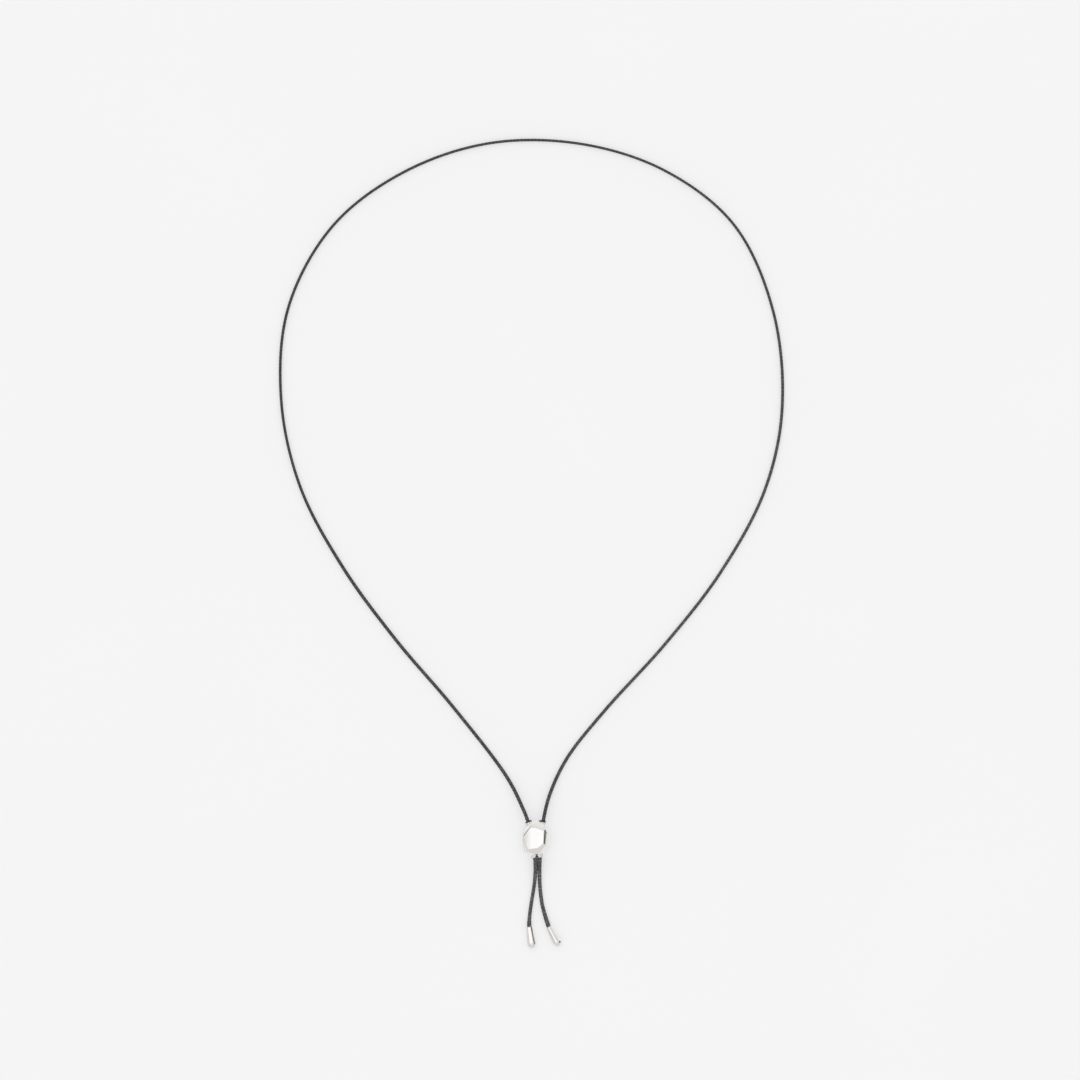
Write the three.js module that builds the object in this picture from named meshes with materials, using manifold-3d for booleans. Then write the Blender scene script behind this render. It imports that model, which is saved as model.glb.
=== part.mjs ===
// A cord necklace lying flat: one braided cord from end cap to end cap, threaded twice through
// a faceted slider bead. Its loop goes over the head, and the bead slides up to the throat.
// Units are millimetres. +Z is up, and the surface that the necklace lies on is z = 0.
// The origin is on that surface, at the middle of the bead's flat underside.
// +Y runs from the bead to the far side of the loop, the back of the neck.
import * as THREE from 'three';
import * as BufferGeometryUtils from 'three/addons/utils/BufferGeometryUtils.js';
import Module from 'manifold-3d';

// Cord
const CORD_DIAMETER = 1.5;
const CORD_SIDES = 8;
const STEPS_PER_STRETCH = 2;    // tube steps between two points of the route
const CORD_REST_HEIGHT = 0.8;   // the cord's centre where it lies on the surface
const CORD_BEAD_HEIGHT = 2.6;   // the cord's centre inside the bead

// Slider bead: a rounded body cut flat by facets, with a thin tube round each bore whose two ends
// stand out of the body as lips
const BEAD_CENTRE = new THREE.Vector3(0, 0.3, 3.6);
const BEAD_HALF_SIZE = new THREE.Vector3(5.2, 8.9, 4.6);
const BEAD_BODY_SEGMENTS = [40, 28];
const LIP_WALL = 0.2;           // the tube's thickness
const BORE_SIDES = 20;
const BORE_OVERRUN = 3;         // how far the drill and the uncut lip run past the bead's ends

// Facets: the way each faces (degrees round from +X, then degrees up) and how far its plane
// lies from the bead's centre
const FACETS = [
  { name: 'table', around: 175, up: 80, distance: 2.5 },
  { name: 'brow', around: 89, up: 62, distance: 4.36 },
  { name: 'crown', around: 79, up: 46, distance: 5.2 },
  { name: 'crown_left', around: 118, up: 36, distance: 6.2 },
  { name: 'temple_left', around: 151, up: 54, distance: 4.09 },
  { name: 'rim_upper_left', around: 148, up: 38, distance: 4.79 },
  { name: 'temple_right', around: 44, up: 40, distance: 5.76 },
  { name: 'cheek_left', around: 193, up: 54, distance: 4.04 },
  { name: 'rim_lower_left', around: 196, up: 38, distance: 4.73 },
  { name: 'cheek_right', around: 356, up: 50, distance: 4.27 },
  { name: 'rim_right', around: 355, up: 30, distance: 4.78 },
  { name: 'shoulder_right', around: 14, up: 26, distance: 5.27 },
  { name: 'chin_left', around: 261, up: 62, distance: 3.85 },
  { name: 'chin_right', around: 297, up: 58, distance: 4.01 },
  { name: 'foot_left', around: 257, up: 43, distance: 4.99 },
  { name: 'foot_middle', around: 277, up: 41, distance: 5.12 },
  { name: 'foot_right', around: 312, up: 41, distance: 4.66 },
  { name: 'keel_top', around: 85, up: -35, distance: 7.3 },
  { name: 'keel_upper_left', around: 133, up: -35, distance: 5.9 },
  { name: 'keel_left', around: 182, up: -44, distance: 4.75 },
  { name: 'keel_lower_left', around: 228, up: -36, distance: 5.7 },
  { name: 'keel_bottom', around: 268, up: -35, distance: 7.4 },
  { name: 'keel_lower_right', around: 318, up: -36, distance: 5.7 },
  { name: 'keel_right', around: 5, up: -40, distance: 4.75 },
  { name: 'keel_upper_right', around: 48, up: -38, distance: 6.0 },
  { name: 'end_left', around: 112, up: 12, distance: 6.95 },
  { name: 'end_top', around: 90, up: 6, distance: 7.5 },
  { name: 'end_right', around: 80, up: 12, distance: 6.95 },
  { name: 'end_bottom', around: 268, up: 4, distance: 7.15 },
  { name: 'underside', around: 0, up: -90, distance: BEAD_CENTRE.z },
];

// Bores: the line of each one's axis, and the planes that cut its lips at its two mouths
const BORES = [
  {
    name: 'left',
    diameter: 2.5,
    axis: [[-0.35, -7.3], [-1.2, 1], [-2.85, 7.3]],
    mouths: [{ around: 288, up: 3, distance: 7 }, { around: 112, up: 12, distance: 7.45 }],
  },
  {
    name: 'right',
    diameter: 2.7,
    axis: [[1.45, -7.3], [2.7, 7.3]],
    mouths: [{ around: 275, up: 3, distance: 7.5 }, { around: 82, up: 12, distance: 7.3 }],
  },
];

// The slot between the two bottom lips, which run into each other below it
const NOTCH_TOP = [0.5, -6.65]; // middle of the slot's round end
const NOTCH_RADIUS = 0.45;
const NOTCH_LENGTH = 3;         // from there on out past the lips

// End caps: flared sleeves with a rounded closed end
const CAP_MOUTH_RADIUS = 1.15;
const CAP_WIDE_RADIUS = 1.7;
const CAP_FLARE_LENGTH = 6.9;  // from the mouth to the widest ring
const CAP_END_LENGTH = 2.0;    // from the widest ring to the tip
const CAP_SOCKET_RADIUS = 0.95;
const CAP_SOCKET_DEPTH = 3.8;
const CAP_SEGMENTS = 24;
const CAP_END_RINGS = 5;
const CORD_IN_CAP = 3.4;
const CAPS = [                 // mouth on the surface, and the heading's turn from -Y towards +X
  { name: 'end_cap_left', mouth: [-2.55, -34.8], turn: 8.5 },
  { name: 'end_cap_right', mouth: [5.25, -34.8], turn: 28 },
];

// The cord's route between the caps' mouths, as x, y and the height of its centre
const R = CORD_REST_HEIGHT;
const B = CORD_BEAD_HEIGHT;
const LEFT_TAIL = [
  [-2.47, -31, 0.95], [-1.77, -25.5, R], [-0.58, -18, 1.1], [-0.1, -12.5, 2],
];
const LEFT_PASS = [[-0.2, -7.3, B], [-1.2, 1, B], [-3.05, 7.3, B]];
const LOOP = [
  [-5.1, 12.5, 2.1], [-11.5, 25, 0.95], [-33, 53, R], [-56, 80, R], [-77.5, 109.5, R],
  [-94.3, 141.5, R], [-101.8, 176.5, R], [-98.8, 213, R], [-81, 245.5, R], [-52.5, 267, R],
  [-18, 278.5, R], [19, 278, R], [52.5, 267, R], [79.5, 245.5, R], [95, 211, R],
  [98.5, 172, R], [91.5, 139.5, R], [74, 107, R], [52, 78.5, R], [27.5, 51.5, R],
  [12.5, 32.5, R], [5.6, 18, 1.4],
];
const RIGHT_PASS = [[2.97, 7.3, B], [2.1, 0, B], [1.6, -7.3, B]];
const RIGHT_TAIL = [
  [1.52, -12.5, 2], [1.67, -18, 1.1], [2.52, -25.5, R], [3.95, -31, 0.95],
];

const UP = new THREE.Vector3(0, 0, 1);
const ALONG_Y = new THREE.Vector3(0, 1, 0);

const blackCord = new THREE.MeshStandardMaterial({ color: 0x2a2a2b, roughness: 0.6, metalness: 0 });
const silver = { color: 0xdcdad6, roughness: 0.12, metalness: 1 };
const beadSilver = new THREE.MeshStandardMaterial(silver);
const capSilver = new THREE.MeshStandardMaterial(silver);

const wasm = await Module();
wasm.setup();

function toSolid(geometry) {
  const bare = geometry.clone();
  bare.deleteAttribute('normal');
  bare.deleteAttribute('uv');
  const merged = BufferGeometryUtils.mergeVertices(bare, 1e-5);
  return new wasm.Manifold(new wasm.Mesh({
    numProp: 3,
    vertProperties: new Float32Array(merged.attributes.position.array),
    triVerts: new Uint32Array(merged.index.array),
  }));
}

function toGeometry(solid) {
  const mesh = solid.getMesh();
  const geometry = new THREE.BufferGeometry();
  geometry.setAttribute('position', new THREE.BufferAttribute(mesh.vertProperties, 3));
  geometry.setIndex(new THREE.BufferAttribute(mesh.triVerts, 1));
  geometry.computeVertexNormals();
  return geometry;
}

// --- Slider bead ---

function facetNormal({ around, up }) {
  const a = THREE.MathUtils.degToRad(around);
  const e = THREE.MathUtils.degToRad(up);
  return new THREE.Vector3(Math.cos(e) * Math.cos(a), Math.cos(e) * Math.sin(a), Math.sin(e));
}

// A block whose near face is the plane of a facet or a mouth, holding all that it cuts away
function offcut(facet) {
  const size = 40;
  const normal = facetNormal(facet);
  const block = new THREE.BoxGeometry(size, size, size);
  block.translate(0, 0, size / 2 + facet.distance);
  block.applyQuaternion(new THREE.Quaternion().setFromUnitVectors(UP, normal));
  block.translate(...BEAD_CENTRE);
  return toSolid(block);
}

// A round rod along a bore's axis, running past both of the bead's ends
function rod({ axis }, diameter) {
  const radius = diameter / 2;
  const points = axis.map(([x, y]) => new THREE.Vector3(x, y, CORD_BEAD_HEIGHT));
  const legs = points.slice(1).map((to, k) => {
    const from = points[k];
    const along = to.clone().sub(from);
    const before = k === 0 ? BORE_OVERRUN : 0;
    const after = k === points.length - 2 ? BORE_OVERRUN : 0;
    const length = along.length() + before + after;
    const leg = new THREE.CylinderGeometry(radius, radius, length, BORE_SIDES);
    leg.translate(0, length / 2 - before, 0);
    leg.applyQuaternion(new THREE.Quaternion().setFromUnitVectors(ALONG_Y, along.normalize()));
    leg.translate(...from);
    return toSolid(leg);
  });
  const bends = points.slice(1, -1).map((point) => {
    const ball = new THREE.SphereGeometry(radius, BORE_SIDES, BORE_SIDES / 2);
    ball.translate(...point);
    return toSolid(ball);
  });
  return [...legs, ...bends].reduce((joined, piece) => joined.add(piece));
}

function lip(bore) {
  const tube = rod(bore, bore.diameter + 2 * LIP_WALL);
  return bore.mouths.reduce((cut, mouth) => cut.subtract(offcut(mouth)), tube);
}

function notch() {
  const [x, y] = NOTCH_TOP;
  const outline = new THREE.Shape();
  outline.absarc(x, y, NOTCH_RADIUS, 0, Math.PI);
  outline.lineTo(x - NOTCH_RADIUS, y - NOTCH_LENGTH);
  outline.lineTo(x + NOTCH_RADIUS, y - NOTCH_LENGTH);
  outline.closePath();
  const depth = 2 * BEAD_HALF_SIZE.z;
  const slot = new THREE.ExtrudeGeometry(outline, { depth, bevelEnabled: false });
  slot.translate(0, 0, CORD_BEAD_HEIGHT);
  return toSolid(slot);
}

function sliderBead() {
  const body = new THREE.SphereGeometry(1, ...BEAD_BODY_SEGMENTS);
  body.scale(...BEAD_HALF_SIZE);
  body.translate(...BEAD_CENTRE);
  let solid = toSolid(body);
  for (const facet of FACETS) solid = solid.subtract(offcut(facet));
  for (const bore of BORES) solid = solid.add(lip(bore));
  for (const bore of BORES) solid = solid.subtract(rod(bore, bore.diameter));
  solid = solid.subtract(notch());
  const mesh = new THREE.Mesh(toGeometry(solid), beadSilver);
  mesh.name = 'slider_bead';
  return mesh;
}

// --- End caps ---

// A cap lies on its flared side, so its axis rises by the flare's own angle
const CAP_RISE = Math.atan2(CAP_WIDE_RADIUS - CAP_MOUTH_RADIUS, CAP_FLARE_LENGTH);

function capPlace({ mouth, turn }) {
  const a = THREE.MathUtils.degToRad(turn);
  const heading = new THREE.Vector3(
    Math.cos(CAP_RISE) * Math.sin(a), -Math.cos(CAP_RISE) * Math.cos(a), Math.sin(CAP_RISE));
  const point = new THREE.Vector3(...mouth, CAP_MOUTH_RADIUS * Math.cos(CAP_RISE));
  return { point, heading };
}

function endCap(cap) {
  const profile = [
    new THREE.Vector2(0, CAP_SOCKET_DEPTH),
    new THREE.Vector2(CAP_SOCKET_RADIUS, CAP_SOCKET_DEPTH),
    new THREE.Vector2(CAP_SOCKET_RADIUS, 0),
    new THREE.Vector2(CAP_MOUTH_RADIUS, 0),
  ];
  for (let ring = 0; ring <= CAP_END_RINGS; ring += 1) {
    const a = (ring / CAP_END_RINGS) * Math.PI / 2;
    const radius = ring < CAP_END_RINGS ? CAP_WIDE_RADIUS * Math.cos(a) : 0;
    profile.push(new THREE.Vector2(radius, CAP_FLARE_LENGTH + CAP_END_LENGTH * Math.sin(a)));
  }
  const { point, heading } = capPlace(cap);
  const mesh = new THREE.Mesh(new THREE.LatheGeometry(profile, CAP_SEGMENTS), capSilver);
  mesh.name = cap.name;
  mesh.quaternion.setFromUnitVectors(ALONG_Y, heading);
  mesh.position.copy(point);
  return mesh;
}

// --- Cord ---

// A curve through the route's points whose steps are shared out between the points rather
// than along its length, so that close points give the fine steps that the bead needs
class RouteCurve extends THREE.CatmullRomCurve3 {
  getUtoTmapping(u) {
    return u;
  }
}

// Where the cord enters a cap and where it ends inside it, in that order
function cordInCap(cap) {
  const { point, heading } = capPlace(cap);
  return [point, point.clone().addScaledVector(heading, CORD_IN_CAP)];
}

function cord() {
  const [leftMouth, leftEnd] = cordInCap(CAPS[0]);
  const [rightMouth, rightEnd] = cordInCap(CAPS[1]);
  const between = [...LEFT_TAIL, ...LEFT_PASS, ...LOOP, ...RIGHT_PASS, ...RIGHT_TAIL];
  const points = between.map((point) => new THREE.Vector3(...point));
  const route = new RouteCurve([leftEnd, leftMouth, ...points, rightMouth, rightEnd]);
  const section = new THREE.Shape();
  for (let side = 0; side < CORD_SIDES; side += 1) {
    const a = ((side + 0.5) / CORD_SIDES) * 2 * Math.PI;
    const x = (CORD_DIAMETER / 2) * Math.cos(a);
    const y = (CORD_DIAMETER / 2) * Math.sin(a);
    if (side === 0) section.moveTo(x, y);
    else section.lineTo(x, y);
  }
  const steps = (route.points.length - 1) * STEPS_PER_STRETCH;
  const tube = new THREE.ExtrudeGeometry(section, { extrudePath: route, steps });
  const mesh = new THREE.Mesh(tube, blackCord);
  mesh.name = 'cord';
  return mesh;
}

const necklace = new THREE.Group();
necklace.add(cord(), sliderBead(), ...CAPS.map(endCap));

export default necklace;
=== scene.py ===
"""A cord necklace lying flat, seen from straight above.

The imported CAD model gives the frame: +X to the right, +Y from the bead to the back of the neck,
+Z up, with the surface that the necklace lies on at z = 0. Lengths are metres.
Every CAD node has a finer stand-in here: the cord gets its braid, the bead and the end caps get
their polished, softened edges. The silver shows the white room that make_studio builds round it.
"""

import itertools
import math

import bpy
import numpy as np
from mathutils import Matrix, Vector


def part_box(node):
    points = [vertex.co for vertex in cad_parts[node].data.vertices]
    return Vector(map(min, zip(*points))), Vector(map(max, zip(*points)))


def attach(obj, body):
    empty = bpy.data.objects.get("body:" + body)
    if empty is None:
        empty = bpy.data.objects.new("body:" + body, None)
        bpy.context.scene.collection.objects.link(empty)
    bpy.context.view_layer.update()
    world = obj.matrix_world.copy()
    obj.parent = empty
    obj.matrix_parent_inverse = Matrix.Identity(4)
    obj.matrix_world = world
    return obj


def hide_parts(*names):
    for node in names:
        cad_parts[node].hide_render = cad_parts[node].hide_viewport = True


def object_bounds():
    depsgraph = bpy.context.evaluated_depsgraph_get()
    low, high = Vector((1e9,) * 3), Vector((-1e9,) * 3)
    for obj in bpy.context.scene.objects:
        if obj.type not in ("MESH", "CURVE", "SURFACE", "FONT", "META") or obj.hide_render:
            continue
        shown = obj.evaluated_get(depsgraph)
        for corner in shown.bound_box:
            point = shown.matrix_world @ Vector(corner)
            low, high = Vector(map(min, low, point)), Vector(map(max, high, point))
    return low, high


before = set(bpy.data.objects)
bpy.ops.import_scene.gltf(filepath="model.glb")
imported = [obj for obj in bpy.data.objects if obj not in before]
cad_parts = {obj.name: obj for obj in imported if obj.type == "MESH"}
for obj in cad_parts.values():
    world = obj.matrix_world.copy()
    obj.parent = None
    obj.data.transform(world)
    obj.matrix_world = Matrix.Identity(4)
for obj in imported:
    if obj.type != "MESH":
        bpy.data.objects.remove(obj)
cad_low, cad_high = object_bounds()

# --- Sizes and places that repeat the CAD source's ---

CORD_REST_HEIGHT = 0.0008  # height of its centreline where it lies on the surface
CORD_BEAD_HEIGHT = 0.0026  # and in the bead's bores
CORD_IN_CAP = 0.0034  # how far it goes into each cap

CAP_MOUTH_RADIUS = 0.00115
CAP_WIDE_RADIUS = 0.0017
CAP_FLARE_LENGTH = 0.0069
CAP_END_LENGTH = 0.002
CAP_SOCKET_RADIUS = 0.00095
CAP_SOCKET_DEPTH = 0.0038
CAPS = {  # mouth on the surface, and the heading's turn from -Y towards +X in degrees
    "end_cap_left": ((-0.00255, -0.0348), 8.5),
    "end_cap_right": ((0.00525, -0.0348), 28),
}

REST, BORE = CORD_REST_HEIGHT, CORD_BEAD_HEIGHT
CORD_POINTS = [
    # left tail, from the cap to the bead
    (-0.00247, -0.031, 0.00095), (-0.00177, -0.0255, REST), (-0.00058, -0.018, 0.0011),
    (-0.0001, -0.0125, 0.002),
    # up through the bead's left bore
    (-0.0002, -0.0073, BORE), (-0.0012, 0.001, BORE), (-0.00305, 0.0073, BORE),
    # round the loop
    (-0.0051, 0.0125, 0.0021), (-0.0115, 0.025, 0.00095), (-0.033, 0.053, REST),
    (-0.056, 0.08, REST), (-0.0775, 0.1095, REST), (-0.0943, 0.1415, REST),
    (-0.1018, 0.1765, REST), (-0.0988, 0.213, REST), (-0.081, 0.2455, REST),
    (-0.0525, 0.267, REST), (-0.018, 0.2785, REST), (0.019, 0.278, REST),
    (0.0525, 0.267, REST), (0.0795, 0.2455, REST), (0.095, 0.211, REST),
    (0.0985, 0.172, REST), (0.0915, 0.1395, REST), (0.074, 0.107, REST),
    (0.052, 0.0785, REST), (0.0275, 0.0515, REST), (0.0125, 0.0325, REST),
    (0.0056, 0.018, 0.0014),
    # down through the right bore
    (0.00297, 0.0073, BORE), (0.0021, 0, BORE), (0.0016, -0.0073, BORE),
    # right tail, from the bead to the cap
    (0.00152, -0.0125, 0.002), (0.00167, -0.018, 0.0011), (0.00252, -0.0255, REST),
    (0.00395, -0.031, 0.00095),
]

BEAD_CENTRE = np.array((0, 0.0003, 0.0036))
BEAD_HALF_SIZE = np.array((0.0052, 0.0089, 0.0046))  # of the rounded body before the facets
LIP_WALL = 0.0002  # thickness of the tube round each bore
FACETS = {  # degrees round from +X, degrees up, and distance from the bead's centre
    "table": (175, 80, 0.0025),
    "brow": (89, 62, 0.00436),
    "crown": (79, 46, 0.0052),
    "crown_left": (118, 36, 0.0062),
    "temple_left": (151, 54, 0.00409),
    "rim_upper_left": (148, 38, 0.00479),
    "temple_right": (44, 40, 0.00576),
    "cheek_left": (193, 54, 0.00404),
    "rim_lower_left": (196, 38, 0.00473),
    "cheek_right": (356, 50, 0.00427),
    "rim_right": (355, 30, 0.00478),
    "shoulder_right": (14, 26, 0.00527),
    "chin_left": (261, 62, 0.00385),
    "chin_right": (297, 58, 0.00401),
    "foot_left": (257, 43, 0.00499),
    "foot_middle": (277, 41, 0.00512),
    "foot_right": (312, 41, 0.00466),
    "keel_top": (85, -35, 0.0073),
    "keel_upper_left": (133, -35, 0.0059),
    "keel_left": (182, -44, 0.00475),
    "keel_lower_left": (228, -36, 0.0057),
    "keel_bottom": (268, -35, 0.0074),
    "keel_lower_right": (318, -36, 0.0057),
    "keel_right": (5, -40, 0.00475),
    "keel_upper_right": (48, -38, 0.006),
    "end_left": (112, 12, 0.00695),
    "end_top": (90, 6, 0.0075),
    "end_right": (80, 12, 0.00695),
    "end_bottom": (268, 4, 0.00715),
    "underside": (0, -90, 0.0036),
}
BORES = {  # radius, and the line of the axis
    "left": (0.00125, [(-0.00035, -0.0073), (-0.0012, 0.001), (-0.00285, 0.0073)]),
    "right": (0.00135, [(0.00145, -0.0073), (0.0027, 0.0073)]),
}
MOUTHS = {  # the planes that cut each bore's lips, given as the facets are
    "left": [(288, 3, 0.007), (112, 12, 0.00745)],
    "right": [(275, 3, 0.0075), (82, 12, 0.0073)],
}
NOTCH_TOP = (0.0005, -0.00665)  # middle of the round end of the slot between the bottom lips
NOTCH_RADIUS = 0.00045

# --- Sizes of the fine surface ---

BRAID_PITCH = 0.0056  # one strand's turn round the cord
BRAID_LANES = 4  # strands each way
BRAID_ROLLS = [(1.7, 0.11, 0), (1.1, 0.047, 1)]  # slow twists: radians, metres a radian, phase
STRAND_RELIEF = 0.00008  # a strand's crown above the grooves beside it
WEAVE_RELIEF = 0.00003  # a strand's rise and fall as it passes over and under
STRAND_BLEND = 0.00002  # softness of the line where one strand goes under another
CURVE_STEPS = 100  # between two points of the cord's route
CORD_SIDES = 24
RINGS_PER_PITCH = 24
CORD_LIFTED_HEIGHT = 0.0016  # with its centreline this high the cord is clear of the surface
CORD_HALF_HEIGHT = 0.00070
CORD_HALF_WIDTHS = [  # share of the cord's length, half of its width seen from above
    (0.0, 0.00080), (0.0042, 0.00088), (0.0055, 0.00088), (0.0075, 0.00078), (0.0095, 0.00073),
    (0.026, 0.00073), (0.0285, 0.00079), (0.032, 0.00080), (0.038, 0.00086), (0.05, 0.00075),
    (0.10, 0.00069), (0.20, 0.00068), (0.27, 0.00056), (0.34, 0.00057), (0.45, 0.00055),
    (0.56, 0.00051), (0.65, 0.00056), (0.72, 0.00062), (0.81, 0.00063), (0.90, 0.00067),
    (0.95, 0.00075), (0.962, 0.00086), (0.968, 0.00080), (0.9715, 0.00079), (0.974, 0.00074),
    (0.987, 0.00077), (0.991, 0.00084), (0.994, 0.00089), (0.9958, 0.00088), (1.0, 0.00080),
]
CORD_PAINTED_SHEEN = [  # share of the cord's length, and how much painted sheen lightens or darkens its colour there: lighter along the tails and the right side, darker round the top
    (0.0, 1.5), (0.036, 1.5), (0.05, 1.0), (0.13, 0.95), (0.22, 0.75), (0.55, 0.75),
    (0.65, 0.9), (0.72, 1.2), (0.85, 1.25), (0.92, 1.05), (0.95, 1.0), (0.965, 1.5), (1.0, 1.5),
]

BEAD_STEP = 0.000095  # grid spacing of the bead's surface
FACET_DOME_RADIUS = 0.040  # polishing leaves each facet this slightly domed
FACET_EDGE = 0.00013  # softness of the edges between facets
LIP_BLEND = 0.00015  # softness of the join between a lip and the body
LIP_EDGE = 0.0003  # softness of a lip's outer rim
BORE_EDGE = 0.0003  # softness of the bores' and the notch's rims
BORE_FADE = 0.0002  # how far outside the bore's wall the painted shade and the dull polish still reach
SURFACE_SLIDES = 4  # times that each point of the bead is slid onto its surface

CAP_SEGMENTS = 96
CAP_LIP_RADIUS = 0.00008

# --- View and surroundings ---

VIEW_WIDTH = 4 / 3 * (cad_high.y - cad_low.y)  # the necklace fills three quarters of the height
VIEW_CENTRE = (0.00172, 0.1198)
CAMERA_LENS = 150  # in millimetres, as the sensor's width is
CAMERA_SENSOR = 36
FLOOR_HALF_SIZE = 4.0
FLOOR_GLOW = 0.44  # strength of the light that comes up through it
BACKDROP = (0.925, 0.925, 0.925)  # what the camera sees beyond the floor

# The colours of the room that the silver mirrors, near being towards -Y and far towards +Y
WALL_NEAR, WALL_FAR = (0.75, 0.742, 0.725), (0.83, 0.823, 0.81)
WALL_FAR_RIGHT = (0.75, 0.742, 0.727)
BELOW = (0.90, 0.895, 0.885)
BELOW_LEFT_DARK, BELOW_LEFT_LIGHT = (0.63, 0.62, 0.605), (0.96, 0.955, 0.945)
GAP_NEAR, GAP_FAR = (0.63, 0.62, 0.605), (0.38, 0.37, 0.355)
CORNER = (0.16, 0.155, 0.14)
LIGHT = (1.11, 1.11, 1.11)
CARD = (0.12, 0.10, 0.09)
SMALL_CARD = (0.065, 0.055, 0.05)
LENS = (0.5, 0.5, 0.5)


def link(obj):
    bpy.context.scene.collection.objects.link(obj)
    return obj


def mesh_object(name, points, faces):
    mesh = bpy.data.meshes.new(name)
    mesh.from_pydata(np.asarray(points).tolist(), [], [list(map(int, f)) for f in faces])
    mesh.shade_smooth()
    return link(bpy.data.objects.new(name, mesh))


def unit(v):
    return v / np.linalg.norm(v, axis=-1, keepdims=True)


def smooth_max(a, b, width):
    """The larger of a and b, rounded off where they are within width of each other."""
    near = np.maximum(width - np.abs(a - b), 0) / width
    return np.maximum(a, b) + near**2 * width / 4


def smooth_min(a, b, width):
    return -smooth_max(-a, -b, width)


# --- Camera ---


def make_camera():
    data = bpy.data.cameras.new("camera")
    data.lens = CAMERA_LENS
    data.sensor_width = CAMERA_SENSOR
    camera = link(bpy.data.objects.new("camera", data))
    camera.location = (*VIEW_CENTRE, VIEW_WIDTH * data.lens / data.sensor_width)
    bpy.context.scene.camera = camera


# --- Cord ---


def cap_place(name):
    """A cap's mouth and the way it points. It lies on its flared side, so its axis rises."""
    (x, y), turn = CAPS[name]
    turn = math.radians(turn)
    rise = math.atan2(CAP_WIDE_RADIUS - CAP_MOUTH_RADIUS, CAP_FLARE_LENGTH)
    heading = np.array(
        (math.cos(rise) * math.sin(turn), -math.cos(rise) * math.cos(turn), math.sin(rise)))
    return np.array((x, y, CAP_MOUTH_RADIUS * math.cos(rise))), heading


def through(points, steps):
    """A centripetal Catmull-Rom curve through the points."""
    first, last = 2 * points[0] - points[1], 2 * points[-1] - points[-2]
    padded = np.vstack((first, points, last))
    t = np.linspace(0, 1, steps, endpoint=False)[:, None]
    pieces = []
    for before, start, end, after in zip(padded, padded[1:], padded[2:], padded[3:]):
        gaps = [math.sqrt(np.linalg.norm(b - a))
                for a, b in ((before, start), (start, end), (end, after))]
        leave = ((start - before) / gaps[0] - (end - before) / (gaps[0] + gaps[1])) * gaps[1]
        leave += end - start
        arrive = ((after - end) / gaps[2] - (after - start) / (gaps[1] + gaps[2])) * gaps[1]
        arrive += end - start
        pieces.append(start + leave * t + (3 * (end - start) - 2 * leave - arrive) * t**2
                      + (2 * (start - end) + leave + arrive) * t**3)
    return np.vstack((*pieces, points[-1:]))


def evenly(line, spacing):
    """The same line as points an even distance apart, and each one's distance along it."""
    along = np.concatenate(([0], np.cumsum(np.linalg.norm(np.diff(line, axis=0), axis=1))))
    count = round(along[-1] / spacing)
    at = np.linspace(0, along[-1], count + 1)
    return np.stack([np.interp(at, along, line[:, k]) for k in range(3)], axis=1), at


def braid_relief(around, along):
    """Height of a two-over-two braid, and where it shows the strands that turn right-handed.

    around is in lanes, BRAID_LANES to a turn, and along in the same lanes' lengths. Each strand
    rises and falls once in four lanes, and the two ways are half of that apart.
    """
    right, left = around - along, around + along
    heights = []
    for across, other, phase in ((right, left, 0.5), (left, right, 2.5)):
        strand = np.round(across)
        crown = np.cos(np.pi * (across - strand))
        over = np.cos(np.pi / 2 * (strand + other - phase))
        heights.append(STRAND_RELIEF * (crown - 1) + WEAVE_RELIEF * over)
    return smooth_max(*heights, STRAND_BLEND), heights[0] > heights[1]


def cord_centreline():
    """Even points from inside the left cap to inside the right, and the distance to each."""
    (left_mouth, left_heading), (right_mouth, right_heading) = map(cap_place, CAPS)
    points = np.array([
        left_mouth + CORD_IN_CAP * left_heading, left_mouth, *CORD_POINTS,
        right_mouth, right_mouth + CORD_IN_CAP * right_heading,
    ])
    centre, at = evenly(through(points, CURVE_STEPS), BRAID_PITCH / RINGS_PER_PITCH)

    # The fine cord is a little flatter than the CAD tube, so where it lies its centre is lower
    lying = (CORD_LIFTED_HEIGHT - centre[:, 2]) / (CORD_LIFTED_HEIGHT - CORD_REST_HEIGHT)
    lower = CORD_REST_HEIGHT - CORD_HALF_HEIGHT - WEAVE_RELIEF
    centre[:, 2] -= np.clip(lying, 0, 1) * lower
    return centre, at


def add_values(mesh, name, values):
    """A number at each point of the mesh, for its material."""
    attribute = mesh.attributes.new(name, "FLOAT", "POINT")
    attribute.data.foreach_set("value", values.astype(np.float32))


def add_strand_coordinates(mesh, around, along, shows_right):
    """UVs for the fibres: across the strand that shows on each face, and along it.

    The two faces that close the cord's ends come last and get none.
    """
    around_step = BRAID_LANES / CORD_SIDES
    along_step = BRAID_LANES / RINGS_PER_PITCH
    corners = []
    for steps_around, steps_along in ((0, 0), (1, 0), (1, 1), (0, 1)):
        u = around + steps_around * around_step
        w = along + steps_along * along_step
        corners.append(np.where(shows_right, (u - w, u + w), (u + w, u - w)).T)
    side_uvs = np.stack(corners, 1).ravel()
    end_uvs = np.zeros(2 * CORD_SIDES * 2)  # two faces of so many corners, two numbers each
    layer = mesh.uv_layers.new(name="strand")
    layer.data.foreach_set("uv", np.concatenate((side_uvs, end_uvs)).astype(np.float32))


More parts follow.
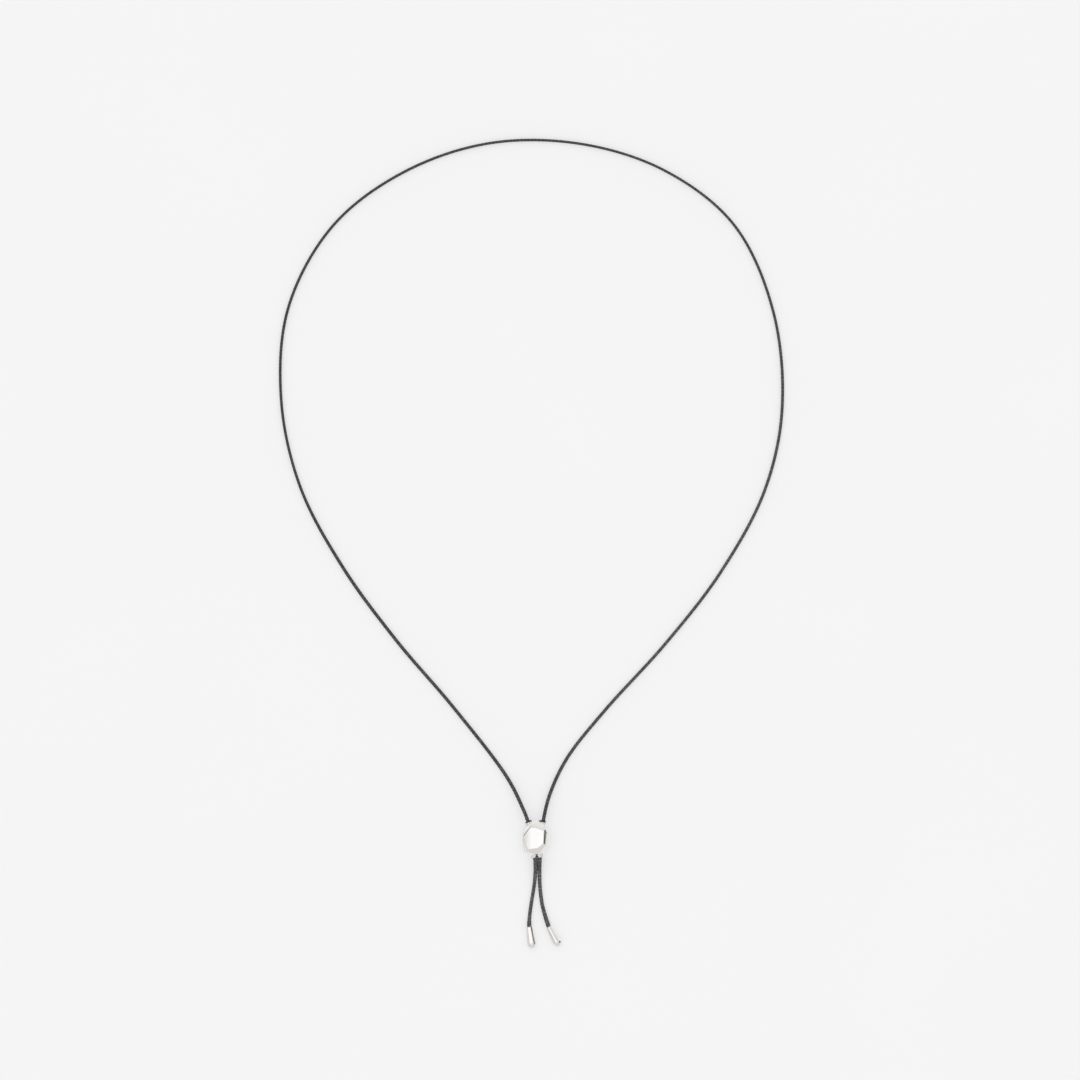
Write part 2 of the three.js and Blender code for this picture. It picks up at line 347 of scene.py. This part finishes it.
def make_cord():
    centre, at = cord_centreline()
    share = at / at[-1]
    ahead = unit(np.gradient(centre, axis=0))
    side = unit(np.cross(ahead, (0, 0, 1)))
    up = np.cross(side, ahead)

    half_width = np.interp(share, *np.transpose(CORD_HALF_WIDTHS))[:, None]
    roll = sum(size * np.sin(at / metres + phase) for size, metres, phase in BRAID_ROLLS)
    turn = np.arange(CORD_SIDES)[None, :] * 2 * np.pi / CORD_SIDES
    around = BRAID_LANES * (turn + roll[:, None]) / (2 * np.pi)
    along = at[:, None] * BRAID_LANES / BRAID_PITCH + 0 * turn
    relief, shows_right = braid_relief(around, along)
    ring_x = (half_width + relief) * np.cos(turn)
    ring_z = (CORD_HALF_HEIGHT + relief) * np.sin(turn)
    rings = centre[:, None] + ring_x[..., None] * side[:, None] + ring_z[..., None] * up[:, None]

    count = len(centre)
    index = np.arange(count * CORD_SIDES).reshape(count, CORD_SIDES)
    beside = np.roll(index, -1, axis=1)
    faces = np.stack((index[:-1], beside[:-1], beside[1:], index[1:]), -1).reshape(-1, 4)
    ends = [index[0][::-1].tolist(), index[-1].tolist()]
    cord = mesh_object("cord_braid", rings.reshape(-1, 3), [*faces, *ends])

    add_strand_coordinates(
        cord.data, around[:-1].ravel(), along[:-1].ravel(), shows_right[:-1].ravel())
    # groove: how deep each point lies between the strands, for the painted shade there
    depth = (WEAVE_RELIEF - relief) / (STRAND_RELIEF + WEAVE_RELIEF)
    add_values(cord.data, "groove", np.clip(depth, 0, 1).ravel())
    # Painted sheen: the cord's colour is made lighter or darker along its length
    painted_sheen = np.interp(share, *np.transpose(CORD_PAINTED_SHEEN))
    add_values(cord.data, "painted_sheen", np.repeat(painted_sheen, CORD_SIDES))

    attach(cord, "root")
    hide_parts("cord")
    return cord


# --- Slider bead ---


def facing(around, up):
    """The direction that is so many degrees round from +X and up from level."""
    a, e = math.radians(around), math.radians(up)
    return np.array((math.cos(e) * math.cos(a), math.cos(e) * math.sin(a), math.sin(e)))


def beyond(p, plane):
    """How far p is beyond a facet's or a mouth's plane."""
    around, up, distance = plane
    return (p - BEAD_CENTRE) @ facing(around, up) - distance


def axis_distance(p, line):
    """Distance from a bore's axis, which runs on past both of its ends."""
    corners = [np.array((x, y, CORD_BEAD_HEIGHT)) for x, y in line]
    distances = []
    for k, (start, end) in enumerate(zip(corners, corners[1:])):
        span = np.linalg.norm(end - start)
        ahead = (end - start) / span
        low = -math.inf if k == 0 else 0
        high = math.inf if k == len(corners) - 2 else span
        away = p - start
        along = np.clip(away @ ahead, low, high)
        distances.append(np.linalg.norm(away - along[..., None] * ahead, axis=-1))
    return np.minimum.reduce(distances)


def bore_distance(p):
    """How far outside the nearer bore's wall each point is, negative in the bore."""
    return np.minimum(*(axis_distance(p, line) - radius for radius, line in BORES.values()))


def notch_distance(p):
    """How far outside the slot between the bottom lips each point is, negative in the slot."""
    x, y = NOTCH_TOP
    side = np.hypot(p[..., 0] - x, np.maximum(p[..., 1] - y, 0)) - NOTCH_RADIUS
    return np.maximum(side, CORD_BEAD_HEIGHT - p[..., 2])


def bead_field(p):
    """Distance outside the bead's surface, negative in the metal."""
    q = (p - BEAD_CENTRE) / BEAD_HALF_SIZE
    size = np.linalg.norm(q, axis=-1) + 1e-9
    body = (size - 1) * size / (np.linalg.norm(q / BEAD_HALF_SIZE, axis=-1) + 1e-9)
    for around, up, distance in FACETS.values():
        dome = BEAD_CENTRE + (distance - FACET_DOME_RADIUS) * facing(around, up)
        facet = np.linalg.norm(p - dome, axis=-1) - FACET_DOME_RADIUS
        body = smooth_max(body, facet, FACET_EDGE)
    for name, (radius, line) in BORES.items():
        lip = axis_distance(p, line) - radius - LIP_WALL
        for mouth in MOUTHS[name]:
            lip = smooth_max(lip, beyond(p, mouth), LIP_EDGE)
        body = smooth_min(body, lip, LIP_BLEND)
    body = smooth_max(body, -bore_distance(p), BORE_EDGE)
    return smooth_max(body, -notch_distance(p), BORE_EDGE)


def gradient(field, p):
    """How fast the field rises along each axis at each point."""
    nudge = 1e-6
    return np.stack([(field(p + nudge * axis) - field(p - nudge * axis)) / (2 * nudge)
                     for axis in np.eye(3)], -1)


def isosurface(field, low, high, step):
    """Points and quads of the surface where field is 0, by surface nets.

    Each grid cell that the surface crosses gets one point, which then slides onto the surface.
    """
    grid = np.stack(np.meshgrid(
        *[np.arange(a, b, step) for a, b in zip(low, high)], indexing="ij"), -1)
    value = field(grid)
    inside = value < 0

    # Each cell's point starts in the middle of the places where its edges cross the surface
    cells = tuple(n - 1 for n in value.shape)
    total, count = np.zeros((*cells, 3)), np.zeros(cells)
    crossings = []
    for axis in range(3):
        near = tuple(slice(None, -1) if k == axis else slice(None) for k in range(3))
        far = tuple(slice(1, None) if k == axis else slice(None) for k in range(3))
        crossed = inside[near] != inside[far]
        share = np.where(crossed, value[near] / np.where(crossed, value[near] - value[far], 1), 0)
        point = grid[near] + share[..., None] * step * np.eye(3)[axis]
        others = [k for k in range(3) if k != axis]
        for shift in itertools.product((0, 1), repeat=2):
            window = [slice(None)] * 3
            for k, s in zip(others, shift):
                window[k] = slice(s, s + cells[k])
            window = tuple(window)
            total += np.where(crossed[window][..., None], point[window], 0)
            count += crossed[window]
        crossings.append((axis, others, crossed, inside[near]))
    used = count > 0
    number = np.cumsum(used).reshape(cells) - 1
    points = total[used] / count[used][:, None]

    # Every crossed edge gets a quad of the points of the four cells round it
    quads = []
    for axis, others, crossed, starts_inside in crossings:
        at = np.argwhere(crossed)
        at = at[np.all([(at[:, k] > 0) & (at[:, k] < cells[k]) for k in others], axis=0)]
        ring = []
        for shift in ((1, 1), (0, 1), (0, 0), (1, 0)):
            cell = at.copy()
            for k, s in zip(others, shift):
                cell[:, k] -= s
            ring.append(number[tuple(cell.T)])
        quad = np.stack(ring, 1)
        flip = starts_inside[tuple(at.T)] == (axis == 1)
        quad[flip] = quad[flip][:, ::-1]
        quads.append(quad)

    for _ in range(SURFACE_SLIDES):
        slope = gradient(field, points)
        points -= (field(points) / (slope**2).sum(-1))[:, None] * slope
    return points, np.vstack(quads)


def make_bead():
    low, high = (np.array(corner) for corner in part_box("slider_bead"))
    points, quads = isosurface(bead_field, low - 3 * BEAD_STEP, high + 3 * BEAD_STEP, BEAD_STEP)
    bead = mesh_object("slider_bead_polished", points, quads)
    normals = unit(gradient(bead_field, points))
    bead.data.normals_split_custom_set_from_vertices(normals.tolist())
    # in_bore: where the silver gets painted shade and a duller polish inside the bores
    add_values(bead.data, "in_bore", np.clip(1 - bore_distance(points) / BORE_FADE, 0, 1))
    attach(bead, "root")
    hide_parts("slider_bead")
    return bead


# --- End caps ---


def arc(centre, radius, start, end, steps):
    """Points round part of a circle, with angles in degrees from the first axis."""
    for a in np.radians(np.linspace(start, end, steps)):
        yield centre[0] + radius * math.cos(a), centre[1] + radius * math.sin(a)


def cap_profile():
    """Distance from the axis and distance from the mouth, from the socket's floor to the tip."""
    lip = CAP_LIP_RADIUS
    yield 0, CAP_SOCKET_DEPTH
    yield from arc((CAP_SOCKET_RADIUS - lip, CAP_SOCKET_DEPTH - lip), lip, 90, 0, 4)
    for share in np.linspace(0.8, 0.1, 6):  # up the socket's wall
        yield CAP_SOCKET_RADIUS, CAP_SOCKET_DEPTH * share
    yield from arc((CAP_SOCKET_RADIUS + lip, lip), lip, 180, 270, 6)
    yield from arc((CAP_MOUTH_RADIUS - lip, lip), lip, 270, 360, 6)
    flare = CAP_WIDE_RADIUS - CAP_MOUTH_RADIUS
    for share in np.linspace(0.05, 0.94, 24):  # down the flare
        yield CAP_MOUTH_RADIUS + flare * share, CAP_FLARE_LENGTH * share
    for a in np.radians(np.linspace(0, 88, 24)):  # round the closed end
        yield CAP_WIDE_RADIUS * math.cos(a), CAP_FLARE_LENGTH + CAP_END_LENGTH * math.sin(a)
    yield 0, CAP_FLARE_LENGTH + CAP_END_LENGTH


def make_cap(name):
    """The profile turned round the cap's axis."""
    mouth, heading = cap_place(name)
    across = unit(np.cross(heading, (0, 0, 1)))
    up = np.cross(across, heading)
    profile = list(cap_profile())
    points = [mouth + profile[0][1] * heading]
    turns = np.arange(CAP_SEGMENTS) * 2 * np.pi / CAP_SEGMENTS
    for radius, depth in profile[1:-1]:
        points += [mouth + depth * heading + radius * (math.cos(a) * across + math.sin(a) * up)
                   for a in turns]
    points.append(mouth + profile[-1][1] * heading)
    rings = len(profile) - 2
    faces = []
    for k in range(CAP_SEGMENTS):
        n = (k + 1) % CAP_SEGMENTS
        faces.append((0, 1 + n, 1 + k))
        for r in range(rings - 1):
            a, b = 1 + r * CAP_SEGMENTS, 1 + (r + 1) * CAP_SEGMENTS
            faces.append((a + k, a + n, b + n, b + k))
        last = 1 + (rings - 1) * CAP_SEGMENTS
        faces.append((last + k, last + n, len(points) - 1))
    cap = mesh_object(name + "_polished", points, faces)
    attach(cap, "root")
    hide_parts(name)
    return cap


# --- Shader nodes ---


def add_node(tree, kind, inputs=None, **settings):
    """A new node. An input's value is a number, a colour or another node's output socket."""
    node = tree.nodes.new(kind)
    for name, value in settings.items():
        setattr(node, name, value)
    for name, value in (inputs or {}).items():
        if isinstance(value, bpy.types.NodeSocket):
            tree.links.new(value, node.inputs[name])
        else:
            node.inputs[name].default_value = value
    return node


def mixed(tree, factor, first, second, blend_type="MIX"):
    """A mix of two colours, each given as red, green and blue or as another node's output."""
    node = add_node(
        tree, "ShaderNodeMix", {"Factor": factor}, data_type="RGBA", blend_type=blend_type)
    colour_inputs = node.inputs[6:8]
    for socket, value in zip(colour_inputs, (first, second)):
        if isinstance(value, bpy.types.NodeSocket):
            tree.links.new(value, socket)
        else:
            socket.default_value = (*value, 1)
    colour_output = node.outputs[2]
    return colour_output


def ramp(tree, factor, stops):
    """A colour ramp. stops are (position, colour)."""
    node = add_node(tree, "ShaderNodeValToRGB", {"Fac": factor})
    elements = node.color_ramp.elements
    while len(elements) < len(stops):
        elements.new(0.5)
    for element, (position, colour) in zip(elements, stops):
        element.position = position
        element.color = (*colour, 1)
    return node.outputs["Color"]


def noise(tree, place, **inputs):
    """A noise texture's value. The texture's other inputs are given by their names."""
    names = {name.replace("_", " ").title(): value for name, value in inputs.items()}
    return add_node(tree, "ShaderNodeTexNoise", {"Vector": place, **names}).outputs["Fac"]


def stretched(tree, place, scale):
    """The place with each of its parts multiplied by its own scale."""
    node = add_node(tree, "ShaderNodeMapping", {"Vector": place, "Scale": scale})
    return node.outputs["Vector"]


def spread(tree, value, **limits):
    """The value taken from one range to another. The ranges' ends are given by their names."""
    names = {name.replace("_", " ").title(): limit for name, limit in limits.items()}
    return add_node(tree, "ShaderNodeMapRange", {"Value": value, **names}).outputs["Result"]


def stored(tree, name):
    """The numbers that a mesh holds under this name."""
    return add_node(tree, "ShaderNodeAttribute", attribute_name=name).outputs["Fac"]


def object_place(tree):
    return add_node(tree, "ShaderNodeTexCoord").outputs["Object"]


def bumped(tree, height, strength, distance):
    node = add_node(
        tree, "ShaderNodeBump", {"Height": height, "Strength": strength, "Distance": distance})
    return node.outputs["Normal"]


def math_node(tree, operation, *values):
    return add_node(
        tree, "ShaderNodeMath", dict(enumerate(values)), operation=operation).outputs[0]


def rising(tree, value, low, high):
    """0 where value is under low, 1 where it is over high, smooth in between."""
    return add_node(
        tree, "ShaderNodeMapRange", {"Value": value, "From Min": low, "From Max": high},
        interpolation_type="SMOOTHSTEP").outputs["Result"]


def within(tree, value, low, high, softness):
    """1 from low to high, and 0 beyond them by more than the softness."""
    above = rising(tree, value, low - softness, low)
    below = math_node(tree, "SUBTRACT", 1.0, rising(tree, value, high, high + softness))
    return math_node(tree, "MULTIPLY", above, below)


# --- Materials ---


def new_material(name):
    material = bpy.data.materials.new(name)
    material.use_nodes = True
    tree = material.node_tree
    return material, tree, tree.nodes["Principled BSDF"]


def set_inputs(tree, shader, inputs):
    """Each of the shader's inputs gets a number, a colour or another node's output socket."""
    for name, value in inputs.items():
        if isinstance(value, bpy.types.NodeSocket):
            tree.links.new(value, shader.inputs[name])
        else:
            shader.inputs[name].default_value = value


def cord_material():
    """Black waxed braid: each strand shows as short floats, some with painted sheen, and fine fibres.
    """
    material, tree, shader = new_material("cord_black")
    strand = add_node(tree, "ShaderNodeUVMap", uv_map="strand").outputs["UV"]
    fibre = noise(tree, stretched(tree, strand, (14, 1.4, 1)), scale=1.0, detail=3, roughness=0.65)
    floats = noise(tree, stretched(tree, strand, (1.0, 0.7, 1)), scale=1.3, detail=1)
    wear = noise(tree, object_place(tree), scale=160, detail=2)

    # Painted sheen: some floats are painted lighter in place of glints on the waxed strands
    crown = ramp(tree, floats, [
        (0.36, (0.052, 0.052, 0.054)), (0.52, (0.105, 0.105, 0.108)), (0.64, (0.21, 0.21, 0.214))])
    threads = ramp(tree, fibre, [
        (0.34, (0.35, 0.35, 0.35)), (0.5, (0.85, 0.85, 0.85)), (0.66, (1.35, 1.35, 1.35))])
    # Painted shade: darker down in the grooves between the strands
    depth = ramp(tree, stored(tree, "groove"), [
        (0.05, (1, 1, 1)), (0.6, (0.42, 0.42, 0.43)), (1.0, (0.14, 0.14, 0.14))])
    colour = crown
    for factor in (stored(tree, "painted_sheen"), threads, depth):
        colour = mixed(tree, 1.0, colour, factor, "MULTIPLY")

    set_inputs(tree, shader, {
        "Base Color": colour,
        "Roughness": spread(tree, wear, to_min=0.38, to_max=0.58),
        "Normal": bumped(tree, fibre, 0.5, 0.00005),
        "Specular IOR Level": 0.45,
    })
    return material


def silver_material(name, in_bore):
    """Polished silver with faint handling marks. in_bore says whether the mesh marks its bores."""
    material, tree, shader = new_material(name)
    place = object_place(tree)
    cloud = noise(tree, place, scale=420, detail=1)
    grain = noise(tree, place, scale=5200, detail=4)
    colour = ramp(tree, cloud, [(0.3, (0.875, 0.867, 0.855)), (0.7, (0.905, 0.90, 0.89))])
    rough = spread(tree, grain, from_min=0.35, from_max=0.7, to_min=0.045, to_max=0.075)
    if in_bore:  # painted shade: dark inside the bores, and dull there too, where no polish reaches
        bore_shade_and_dull = stored(tree, "in_bore")
        colour = mixed(tree, bore_shade_and_dull, colour, (0.20, 0.19, 0.18))
        rough = math_node(tree, "MULTIPLY_ADD", bore_shade_and_dull, 0.25, rough)
    set_inputs(tree, shader, {
        "Base Color": colour,
        "Roughness": rough,
        "Normal": bumped(tree, cloud, 0.2, 0.00002),
        "Metallic": 1,
    })
    return material


def floor_material():
    """Matt white acrylic, lit a little from behind as a light table is."""
    material, tree, shader = new_material("pale_surface")
    mottle = noise(tree, object_place(tree), scale=9, detail=2)
    set_inputs(tree, shader, {
        "Base Color": ramp(
            tree, mottle, [(0.3, (0.639, 0.639, 0.641)), (0.7, (0.647, 0.647, 0.649))]),
        "Roughness": 0.9,
        "Specular IOR Level": 0.0,
        "Emission Color": (0.955, 0.967, 1.0, 1),
        "Emission Strength": FLOOR_GLOW,
    })
    return material


# --- Studio ---


def make_floor():
    half = FLOOR_HALF_SIZE
    floor = mesh_object(
        "floor", [(-half, -half, 0), (half, -half, 0), (half, half, 0), (-half, half, 0)],
        [(0, 1, 2, 3)])
    floor.data.materials.append(floor_material())
    floor.visible_glossy = False  # the metal mirrors the room below, as it does on a glass plate


def room_directions(tree):
    """Where a ray goes: the direction, its Y part, and its angles in degrees.

    around is the angle round from +X, up the angle above level, and lean_x and lean_y are how far
    it leans from overhead towards +X and towards +Y.
    """
    def degrees(radians):
        return math_node(tree, "MULTIPLY", radians, 180 / math.pi)

    way = add_node(tree, "ShaderNodeTexCoord").outputs["Generated"]
    apart = add_node(tree, "ShaderNodeSeparateXYZ", {"Vector": way})
    x, y, z = (apart.outputs[name] for name in "XYZ")
    around = degrees(math_node(tree, "ARCTAN2", y, x))
    up = degrees(math_node(tree, "ARCSINE", z))
    lean_x, lean_y = (degrees(math_node(tree, "ARCTAN2", part, z)) for part in (x, y))
    return way, y, around, up, lean_x, lean_y


def add_walls(tree, y, around, up):
    """The walls, and what lies below the plate that carries the necklace."""
    left = rising(tree, math_node(tree, "ABSOLUTE", around), 125, 160)
    away = rising(tree, y, 0.0, 0.7)
    wall = mixed(tree, away, WALL_NEAR, WALL_FAR)
    wall = mixed(tree, within(tree, around, 28, 60, 9), wall, WALL_FAR_RIGHT)
    below_left = mixed(tree, within(tree, up, -22, -5, 3), BELOW_LEFT_DARK, BELOW_LEFT_LIGHT)
    below = mixed(tree, left, BELOW, below_left)
    foot = math_node(tree, "MULTIPLY", away, 12.0)  # the wall's foot stands higher towards +Y
    over_foot = math_node(tree, "SUBTRACT", up, foot)
    room = mixed(tree, rising(tree, over_foot, -4, 1), below, wall)

    # A grey gap between the left wall and the lights, and its dark corner
    gap = math_node(tree, "MULTIPLY", within(tree, up, 3, 24, 5), left)
    gap_colour = mixed(tree, rising(tree, y, 0.05, 0.3), GAP_NEAR, GAP_FAR)
    room = mixed(tree, gap, room, gap_colour)
    corner = math_node(
        tree, "MULTIPLY", within(tree, up, 10, 30, 4), within(tree, around, 154, 168, 3))
    return mixed(tree, corner, room, CORNER)


def add_lights(tree, room, way, lean_x, lean_y):
    """A strip light from right to left over and under the caps, and a window overhead at the left."""
    def towards(around, up):
        return add_node(tree, "ShaderNodeVectorMath", {0: way, 1: facing(around, up)},
                        operation="DOT_PRODUCT").outputs["Value"]

    # The strip stands square to the left cap, which points 278.5 degrees round and 4.6 up
    strip = math_node(tree, "MULTIPLY",
                      within(tree, towards(278.5, 4.6), -0.165, -0.125, 0.02),
                      within(tree, towards(188.5, 0), -0.50, 0.84, 0.06))
    window = math_node(
        tree, "MULTIPLY", rising(tree, lean_x, -35, -22), within(tree, lean_y, -16, 9, 6))
    window = math_node(tree, "SUBTRACT", window, rising(tree, lean_x, -6, 0))
    return mixed(tree, math_node(tree, "MAXIMUM", strip, window), room, LIGHT)


def add_cards(tree, room, around, up):
    """Dark cards at the right, and the camera's lens straight overhead."""
    def card(round_low, round_high, round_soft, up_low, up_high, up_soft):
        return math_node(tree, "MULTIPLY", within(tree, around, round_low, round_high, round_soft),
                         within(tree, up, up_low, up_high, up_soft))

    tall, low = card(3, 25, 3, -8, 30, 4), card(5, 17, 3, -28, -8, 4)
    room = mixed(tree, math_node(tree, "MAXIMUM", tall, low), room, CARD)
    room = mixed(tree, card(-11, 6, 1.5, 6, 14, 1.5), room, SMALL_CARD)
    return mixed(tree, rising(tree, up, 82, 85), room, LENS)


def make_studio():
    """The room that lights the necklace and shows in the silver. The camera sees a plain backdrop."""
    world = bpy.data.worlds.new("studio")
    bpy.context.scene.world = world
    world.use_nodes = True
    tree = world.node_tree
    tree.nodes.clear()
    way, y, around, up, lean_x, lean_y = room_directions(tree)
    room = add_walls(tree, y, around, up)
    room = add_lights(tree, room, way, lean_x, lean_y)
    room = add_cards(tree, room, around, up)
    to_camera = add_node(tree, "ShaderNodeLightPath").outputs["Is Camera Ray"]
    room = mixed(tree, to_camera, room, BACKDROP)
    background = add_node(tree, "ShaderNodeBackground", {"Color": room, "Strength": 1.0})
    add_node(tree, "ShaderNodeOutputWorld", {"Surface": background.outputs["Background"]})
    bpy.context.scene.view_settings.view_transform = "Standard"


make_camera()
make_cord().data.materials.append(cord_material())
make_bead().data.materials.append(silver_material("polished_silver_bead", True))
cap_silver = silver_material("polished_silver_caps", False)
for cap_name in CAPS:
    make_cap(cap_name).data.materials.append(cap_silver)
make_floor()
make_studio()
